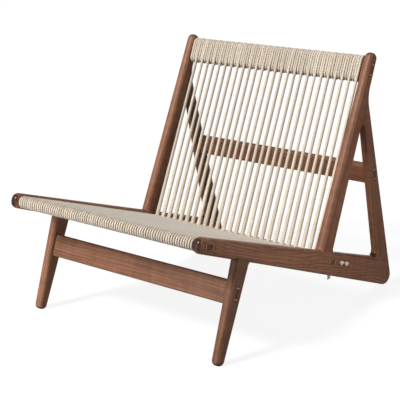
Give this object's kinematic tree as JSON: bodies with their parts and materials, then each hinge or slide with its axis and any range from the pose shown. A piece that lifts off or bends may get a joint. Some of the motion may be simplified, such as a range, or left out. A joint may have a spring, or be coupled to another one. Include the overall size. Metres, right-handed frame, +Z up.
{
  "type": "lounge chair",
  "caption": "Low armless lounge chair: raked walnut side frames, wedged cross members, seat and back strung with wound cord.",
  "frame": {"origin": "on the floor under the middle of the chair's bounding box", "axes": "+Z up, the sitter faces -Y, +X towards the side of the cord's knots"},
  "size_m": [0.657, 0.8894, 0.6917],
  "materials": {
    "walnut": "oiled, satin",
    "wedge_wood": "oiled end grain, satin",
    "cord": "twisted natural cord, matte",
    "tag": "plain woven tag, matte"
  },
  "bodies": {
    "root": {"seat_rail_left": "walnut", "seat_rail_right": "walnut", "back_post_left": "walnut", "back_post_right": "walnut", "rear_strut_left": "walnut", "rear_strut_right": "walnut", "front_leg_left": "walnut", "front_leg_right": "walnut", "loose_tenons_left": "walnut", "loose_tenons_right": "walnut", "front_rail": "walnut", "rear_crossbar": "walnut", "top_rail": "walnut", "mid_crossbar": "walnut", "leg_stretcher": "walnut", "front_rail_wedges": "wedge_wood", "rear_crossbar_wedges": "wedge_wood", "top_rail_wedges": "wedge_wood", "mid_crossbar_wedges": "wedge_wood", "leg_stretcher_wedges": "wedge_wood", "front_rail_wrap": "cord", "rear_crossbar_wrap": "cord", "top_rail_wrap": "cord", "seat_cords": "cord", "back_cords": "cord", "cord_knots": "cord", "blank_tag": "tag"}
  },
  "joints": []
}
